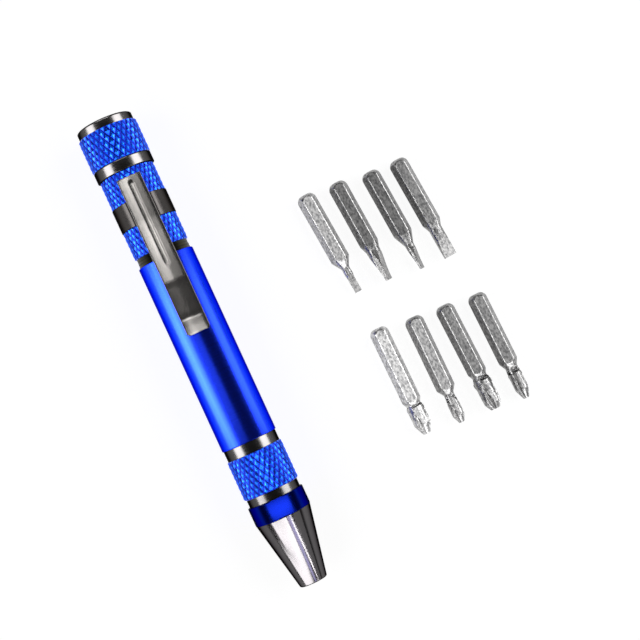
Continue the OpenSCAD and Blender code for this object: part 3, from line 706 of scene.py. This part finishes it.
def blade_section(stock_r, half_w, half_t):
    """Round stock cut by two flanks and two sides, as points from the top, in order of angle."""
    side_count = 7
    flank = BIT_AROUND // 4 - side_count
    half_t = min(half_t, stock_r * 0.999)
    corner_y = min(half_w, math.sqrt(stock_r ** 2 - half_t ** 2))
    quarter = [(corner_y * k / (flank - 1), half_t) for k in range(flank)]
    for k in range(side_count):
        z = half_t * (1 - (k + 1) / side_count)
        quarter.append((min(half_w, math.sqrt(max(0, stock_r ** 2 - z * z))), z))
    right_down = [(y, -z) for y, z in reversed(quarter[:-1])]
    right = quarter + right_down
    left = [(-y, -z) for y, z in right[1:-1]]
    return right + left


def even_section(stock_r):
    angles = [2 * math.pi * k / BIT_AROUND for k in range(BIT_AROUND)]
    return [(stock_r * math.sin(a), stock_r * math.cos(a)) for a in angles]


def cross_section(stock_r, arm):
    """Four round-ended arms of the given half width, with valleys between them."""
    arc = 3
    flank = (BIT_AROUND // 4 - 2 * arc) // 2
    edge = math.asin(min(0.7, arm / stock_r))
    quarter = []
    for k in range(arc):
        a = edge * k / (arc - 1)
        quarter.append((stock_r * math.sin(a), stock_r * math.cos(a)))
    top = stock_r * math.cos(edge)
    for k in range(1, flank + 1):
        t = k / flank
        quarter.append((arm * (1 + 0.12 * t ** 6), top + (arm * 1.12 - top) * t))
    mirror = [(z, y) for y, z in reversed(quarter)]
    full = quarter + mirror[:-1]
    return [point for turn in range(4) for point in rolled(full, 90 * turn)]


def section_angles(section):
    """Angles of a section's points from the top, growing all the way round."""
    angles = [math.degrees(math.atan2(y, z)) for y, z in section]
    result = [angles[0]]
    for a in angles[1:]:
        while a < result[-1] - 1e-6:
            a += 360
        result.append(a)
    return result


def resampled(ring):
    """Keeps a closed ring's first point and spreads BIT_AROUND points evenly by order along it."""
    source = ring + [ring[0]]
    result = []
    for k in range(BIT_AROUND):
        place = k / BIT_AROUND * len(ring)
        i = int(place)
        t = place - i
        a, b = source[i], source[i + 1]
        result.append((a[0] + (b[0] - a[0]) * t, a[1] + (b[1] - a[1]) * t))
    return result


def finish_bit(name, rings, tip_x, material):
    """Closes a bit's rings to a mesh; nothing on it reaches below the flat that it lies on."""
    points = [(x, y, max(z, -BIT_AF / 2)) for ring in rings for x, y, z in ring]
    faces = ring_faces(len(rings), BIT_AROUND, False)
    first = len(points)
    points.append((0.0, 0.0, 0.0))
    points.append((tip_x, 0.0, 0.0))
    last = (len(rings) - 1) * BIT_AROUND
    for i in range(BIT_AROUND):
        k = (i + 1) % BIT_AROUND
        faces.append((first, k, i))
        faces.append((first + 1, last + i, last + k))
    return make_object(name, points, faces, material, sharp_deg=24.0)


def add_section(rings, x, section, roll, index):
    """Adds a section rolled by the bit's own angle, starting at the point that meets the neck's first."""
    ring = rolled(section, roll)
    rings.append([(x, y, z) for y, z in ring[index:] + ring[:index]])


def slotted_bit(name, material, neck_d, blade_w, blade_t, shank_share, neck_share, grind_share, roll):
    """A flat blade: hexagon shank, round neck, and stock ground thinner from grind_share to the end."""
    shank_len, neck_x, grind_x = (SLOTTED_LEN * share for share in (shank_share, neck_share, grind_share))
    neck_r = neck_d / 2
    stock_r = max(neck_d, blade_w) / 2
    rings, angles = shank_rings(shank_len, neck_x, neck_r)
    start = even_section(1.0)
    tip_angles = matched([a + roll for a in section_angles(start)], angles[0])
    index = round((tip_angles[0] - roll) / 360 * BIT_AROUND) % BIT_AROUND
    rings += neck_rings(neck_x - NECK_BLEND, neck_r + 0.12, neck_x + NECK_BLEND, neck_r, angles, angles, 3)
    flare_from = neck_x + (grind_x - neck_x) * 0.45
    rings += neck_rings(neck_x + NECK_BLEND, neck_r, flare_from, neck_r, angles, tip_angles, 5)
    flare_to = grind_x + 0.5 * (stock_r - neck_r)
    if stock_r > neck_r + 0.05:
        rings += neck_rings(flare_from, neck_r, flare_to, stock_r, tip_angles, tip_angles, 6)
    else:
        flare_to = flare_from
    steps = 16
    half_end = blade_t / 2
    half_start = 1.1 * stock_r
    for k in range(1, steps + 1):
        t = k / steps
        x = grind_x + (SLOTTED_LEN - BLADE_BEVEL - grind_x) * t
        if x <= flare_to + 0.05:
            continue
        half_t = half_end + (half_start - half_end) * (1 - t) ** 1.8
        narrowing = min(1, (x - grind_x + stock_r) / (2 * stock_r))
        half_w = stock_r
        if blade_w < 2 * stock_r:
            half_w = min(stock_r, stock_r * 1.5 + (blade_w / 2 - stock_r * 1.5) * narrowing)
        section = even_section(stock_r)
        if half_t < stock_r * 0.999:
            section = resampled(blade_section(stock_r, half_w, half_t))
        add_section(rings, x, section, roll, index)
    end = resampled(blade_section(stock_r, min(blade_w / 2, stock_r), half_end))
    add_section(rings, SLOTTED_LEN, [(y * 0.985, z * 0.8) for y, z in end], roll, index)
    return finish_bit(name, rings, SLOTTED_LEN, material)


def cross_bit(name, material, neck_d, tip_d, point_d, shank_share, neck_share, tip_share, point_share,
              roll):
    """A cross point: hexagon shank, round neck, and four arms between flutes that deepen to the end."""
    shares = (shank_share, neck_share, tip_share, point_share)
    shank_len, neck_x, tip_x, point_x = (CROSS_LEN * share for share in shares)
    neck_r, tip_r, point_r = neck_d / 2, tip_d / 2, point_d / 2
    rings, angles = shank_rings(shank_len, neck_x, neck_r)
    start_angles = section_angles(resampled(cross_section(1.0, 0.7)))
    tip_angles = matched([a + roll for a in start_angles], angles[0])
    offsets = [abs((a + roll - tip_angles[0] + 180) % 360 - 180) for a in start_angles]
    index = offsets.index(min(offsets))
    rings += neck_rings(neck_x - NECK_BLEND, neck_r + 0.1, neck_x + NECK_BLEND, neck_r, angles, angles, 3)
    rings += neck_rings(neck_x + NECK_BLEND, neck_r, tip_x, tip_r, angles, tip_angles, 8)
    flute_x = tip_x + (point_x - tip_x) * 0.15
    tilt = 0.8 * math.atan(tip_r / (CROSS_LEN - tip_x))
    steps = 26
    for k in range(1, steps + 1):
        x = tip_x + (CROSS_LEN - POINT_BEVEL - tip_x) * k / steps
        r = tip_r if x < point_x else tip_r + (point_r - tip_r) * (x - point_x) / (CROSS_LEN - point_x)
        bottom = tip_r - (x - flute_x) * math.tan(tilt)
        arm = min(bottom / math.sqrt(2), r * 0.7)
        section = resampled(cross_section(r, max(arm, 0.1)))
        add_section(rings, x, section, roll, index)
    rings.append([(CROSS_LEN, y * 0.9, z * 0.9) for _, y, z in rings[-1]])
    return finish_bit(name, rings, CROSS_LEN, material)


# Each bit: the end of its node's name; diameters and widths in millimetres, then shares of its length,
# then its roll in degrees, in the order that its function takes them; and the tone of its plating
SLOTTED = [
    ("slotted_1_5", (1.95, 1.6, 0.35, 0.66, 0.75, 0.81, 0), 0.4),
    ("slotted_3_0", (3.3, 3.0, 0.6, 0.62, 0.69, 0.7, 62), 0.3),
    ("slotted_2_0", (2.1, 2.0, 0.45, 0.63, 0.75, 0.76, 60), 0.3),
    ("slotted_3_5", (3.1, 3.1, 0.6, 0.64, 0.71, 0.74, 12), 0.3),
]
CROSS = [
    ("cross_1", (3.5, 4.0, 1.8, 0.68, 0.72, 0.75, 0.91, 20), 0.5),
    ("cross_00", (2.4, 2.8, 1.3, 0.67, 0.73, 0.82, 0.93, 10), 0.33),
    ("cross_2", (3.5, 4.05, 2.3, 0.64, 0.68, 0.73, 0.94, 25), 0.32),
    ("cross_0", (2.9, 3.2, 1.4, 0.64, 0.7, 0.76, 0.91, 15), 0.3),
]

# Where each bit lies: its place in pitches from the row's start, and its heading in degrees
SLOTTED_PLACES = [(0, 0), (0.045, 0.988), (0.153, 2.006), (0.164, 2.897)]
SLOTTED_HEADINGS = [4.9, 4.4, 4.6, 4.9]
SLOTTED_START = (-79.4, 34.5)
CROSS_PLACES = [(0, 0), (0.132, 1.071), (0.194, 2.036), (0.291, 3.037)]
CROSS_HEADINGS = [0.9, 0.8, 2.6, 1.8]
CROSS_START = (-45.0, 36.9)


def lay(obj, start, place, heading):
    """Moves a bit's mesh from its own axis to where it lies on the floor."""
    x = start[0] + place[0] * BIT_PITCH
    y = start[1] + place[1] * BIT_PITCH
    spot = Vector((x, y, FLOOR_Z + BIT_AF / 2)) * MM
    obj.data.transform(Matrix.Translation(spot) @ Matrix.Rotation(math.radians(heading), 4, "Z"))


def add_bits():
    rows = [(slotted_bit, SLOTTED, SLOTTED_START, SLOTTED_PLACES, SLOTTED_HEADINGS),
            (cross_bit, CROSS, CROSS_START, CROSS_PLACES, CROSS_HEADINGS)]
    made = []
    for build, kinds, start, places, headings in rows:
        for (label, sizes, tone), place, heading in zip(kinds, places, headings):
            obj = build("steel_" + label, bit_steel("bit_steel_" + label, tone), *sizes)
            lay(obj, start, place, heading)
            keep_flats(obj)
            made.append(ride_as(obj, "bit_" + label, "bit_steel", "bit_" + label))
    return made


# Finishes of the CAD nodes that stay

def dress_nodes():
    slot_of = {part["node"]: part["material_slot"] for part in frame["record"]["subparts"]}
    for node, obj in frame["nodes"].items():
        material = MATERIALS.get(slot_of[node])
        if material is None or not obj.material_slots:
            continue
        for held in obj.material_slots:
            held.material = material


# Studio

def seen_directly(tree):
    """1 where the camera, a mirror-like surface or glass looks at a surface, 0 where it only lights."""
    path = add(tree, "ShaderNodeLightPath")
    total = None
    for output in ("Is Camera Ray", "Is Glossy Ray", "Is Transmission Ray"):
        if total is None:
            total = path.outputs[output]
            continue
        node = add(tree, "ShaderNodeMath", operation="ADD", use_clamp=True)
        tree.links.new(total, node.inputs[0])
        tree.links.new(path.outputs[output], node.inputs[1])
        total = node.outputs[0]
    return total


FLOOR_GAP = 0.02
FLOOR_HALF = 1500.0
FLOOR_GLOW = 0.9
FLOOR_COLOR = 0.4


def add_floor():
    corners = [(-1, -1), (1, -1), (1, 1), (-1, 1)]
    points = [(x * FLOOR_HALF, y * FLOOR_HALF, FLOOR_Z - FLOOR_GAP) for x, y in corners]
    material, tree, shader = new_material("floor_white")
    shader.inputs["Base Color"].default_value = (FLOOR_COLOR, FLOOR_COLOR, FLOOR_COLOR, 1)
    shader.inputs["Roughness"].default_value = 0.9
    shader.inputs["Specular IOR Level"].default_value = 0.0
    shader.inputs["Emission Color"].default_value = (1, 1, 1, 1)
    glow = add(tree, "ShaderNodeMath", operation="MULTIPLY")
    glow.inputs[1].default_value = FLOOR_GLOW
    tree.links.new(seen_directly(tree), glow.inputs[0])
    tree.links.new(glow.outputs[0], shader.inputs["Emission Strength"])
    floor = make_object("floor", points, [(0, 1, 2, 3)], material)


# Soft boxes round the pen: name, range of angles about its axis (from straight up towards +Y, in
# degrees), range along X (in millimetres), brightness, what it lights, and where they are not 0 and
# white, its turn in its own plane and its tint. "bits" stands for all eight bits
BOX_DISTANCE = 420.0
WHITE = (1.0, 1.0, 1.0)
LAVENDER = (0.64, 0.62, 1.0)
KNURLS = ["grip_knurl", "rear_knurl", "cap_knurl"]
RINGS = ["front_rings", "tail_ring_bright", "end_disc_bright"]
BRIGHT_BITS = ["steel_slotted_1_5", "steel_cross_1", "steel_cross_00"]
CROSS_BITS = ["steel_cross_1", "steel_cross_00", "steel_cross_2", "steel_cross_0"]
DARK_METALS = RINGS + ["cone", "collar", "band_wing_left", "band_wing_right"]
PALE_METALS = KNURLS + ["barrel_shell", "clip_strip", "bits"]
BOXES = [
    ("key_left", -69, -46, -260, 60, 7.0, KNURLS + ["barrel_shell", "band_wing_left"]),
    ("key_right", 46, 69, -260, 60, 7.0, KNURLS + ["band_wing_right"]),
    ("ring_left", -77, -42, -300, 80, 15.0, RINGS),
    ("ring_right", 42, 77, -300, 80, 15.0, RINGS),
    ("floor_left", -69, -30, -300, 200, 0.9, ["floor"]),
    ("floor_right", 30, 69, -300, 200, 0.9, ["floor"]),
    ("front_box", -76, 6, 206, 330, 10.5, ["cone"]),
    ("front_rear", -60, 6, 118, 203, 10.5, ["cone"]),
    ("front_mid", 9, 24, 100, 300, 5.3, ["cone"], 0, LAVENDER),
    ("front_line", 30.6, 34, 106, 300, 24.0, ["cone"], 50),
    ("front_dim", 37, 70, 100, 300, 0.8, ["cone"]),
    ("far_left_dark", -75, -25, 520, 1100, 14.0, DARK_METALS),
    ("far_right_dark", 25, 75, 520, 1100, 14.0, DARK_METALS),
    ("behind_dark", -30, 30, -850, -380, 11.0, DARK_METALS),
    ("far_left_pale", -75, -25, 520, 1100, 1.6, PALE_METALS),
    ("far_right_pale", 25, 75, 520, 1100, 1.6, PALE_METALS),
    ("behind_pale", -30, 30, -850, -380, 1.6, PALE_METALS),
    ("knurl_box", -62, 62, 15, 300, 3.2, KNURLS[1:]),
    ("grip_box", -62, 62, 60, 300, 1.9, KNURLS[:1]),
    ("knurl_fill", -40, 40, -300, 15, 0.35, KNURLS),
    ("barrel_left", -90, -64, -150, 30, 9.5, ["barrel_shell"]),
    ("barrel_right", 58, 90, -150, 30, 3.8, ["barrel_shell"]),
    ("barrel_fill", -42, -4, -150, 30, 0.8, ["barrel_shell"]),
    ("collar_box", -46, 46, -40, 90, 5.6, ["collar"]),
    ("clip_rear", -24, 34, -232, -185, 2.5, ["clip_strip"]),
    ("clip_front", -46, -3, -185, -150, 3.6, ["clip_strip"]),
    ("clip_lip", -34, -8, -330, -240, 0.6, ["clip_strip"]),
    ("rack_fill", -60, 60, -350, 50, 1.6, ["bit_rack", "rack_pin", "seal_ring"]),
    ("bits_left", -56, -47, -260, 160, 7.0, ["bits"]),
    ("bits_right", 63, 76, -260, 160, 7.0, ["bits"]),
    ("tips_left", -44, -26, -260, 160, 2.4, CROSS_BITS),
    ("tips_right", 28, 48, -260, 160, 2.4, CROSS_BITS + ["steel_slotted_3_5"]),
    ("bits_all", -10, 50, -250, 150, 0.5, ["bits"]),
    ("bits_bright", -10, 20, -250, 150, 0.9, BRIGHT_BITS),
    ("bits_front", -50, 50, 330, 700, 5.0, ["bits"]),
]


def add_box_light(name, angle_from, angle_to, x_from, x_to, brightness, pieces, turn=0, tint=WHITE):
    """A rectangle facing the pen's axis that lights just the named pieces."""
    width = 2 * BOX_DISTANCE * math.tan(math.radians((angle_to - angle_from) / 2)) * MM
    length = (x_to - x_from) * MM
    lamp = bpy.data.lights.new(name, "AREA")
    lamp.shape = "RECTANGLE"
    lamp.size = length
    lamp.size_y = width
    lamp.energy = brightness * math.pi * length * width
    lamp.color = tint
    obj = bpy.data.objects.new(name, lamp)
    a = math.radians((angle_from + angle_to) / 2)
    out = Vector((0, math.sin(a), math.cos(a)))
    along = Matrix.Rotation(math.radians(turn), 3, out) @ Vector((1, 0, 0))
    axes = Matrix((along, out.cross(along), out)).transposed()
    place = out * BOX_DISTANCE + Vector(((x_from + x_to) / 2, 0, 0))
    obj.matrix_world = Matrix.Translation(place * MM) @ axes.to_4x4()
    obj.visible_camera = False
    bpy.context.scene.collection.objects.link(obj)
    lit = bpy.data.collections.new(name + "_lights")
    for piece in pieces:
        for one in bits if piece == "bits" else [bpy.data.objects[piece]]:
            lit.objects.link(one)
    obj.light_linking.receiver_collection = lit


WALL_TOP = 0.06
CEILING_START = 0.2
WALL_LEVEL = 0.95
CEILING_LEVEL = 0.04


def add_world():
    """A dark ceiling over pale walls: the walls are what a level view sees behind the object."""
    world = bpy.data.worlds.new("studio")
    bpy.context.scene.world = world
    world.use_nodes = True
    tree = world.node_tree
    direction = add(tree, "ShaderNodeTexCoord").outputs["Generated"]
    parts = add(tree, "ShaderNodeSeparateXYZ")
    tree.links.new(direction, parts.inputs[0])
    ramp = add(tree, "ShaderNodeValToRGB")
    ramp.color_ramp.elements[0].position = WALL_TOP
    ramp.color_ramp.elements[0].color = (WALL_LEVEL, WALL_LEVEL, WALL_LEVEL, 1)
    ramp.color_ramp.elements[1].position = CEILING_START
    ramp.color_ramp.elements[1].color = (CEILING_LEVEL, CEILING_LEVEL, CEILING_LEVEL, 1)
    tree.links.new(parts.outputs["Z"], ramp.inputs["Fac"])
    tree.links.new(ramp.outputs["Color"], tree.nodes["Background"].inputs["Color"])
    tree.nodes["Background"].inputs["Strength"].default_value = 1.0


# The camera's place in millimetres, and the directions of its picture's right and bottom in the frame
CAMERA_PLACE = (-46.6, 0, 331.1)
CAMERA_RIGHT = (0.41816, 0.90618, 0.063)
CAMERA_DOWN = (0.90822, -0.41584, -0.04696)
CAMERA_LENS = 83.62


def add_camera():
    camera = bpy.data.cameras.new("camera")
    camera.sensor_width = 36.0
    camera.lens = CAMERA_LENS
    camera.clip_start = 0.01
    obj = bpy.data.objects.new("camera", camera)
    right = Vector(CAMERA_RIGHT)
    down = Vector(CAMERA_DOWN)
    ahead = right.cross(down)
    axes = Matrix((right.normalized(), -down.normalized(), -ahead.normalized())).transposed()
    obj.matrix_world = Matrix.Translation(Vector(CAMERA_PLACE) * MM) @ axes.to_4x4()
    bpy.context.scene.collection.objects.link(obj)
    bpy.context.scene.camera = obj


add_turned_pieces()
add_knurls()
add_clip_strip()
add_clip_band()
bits = add_bits()
dress_nodes()
add_floor()
for box_light in BOXES:
    add_box_light(*box_light)
add_world()
add_camera()
bpy.context.scene.view_settings.view_transform = "Standard"
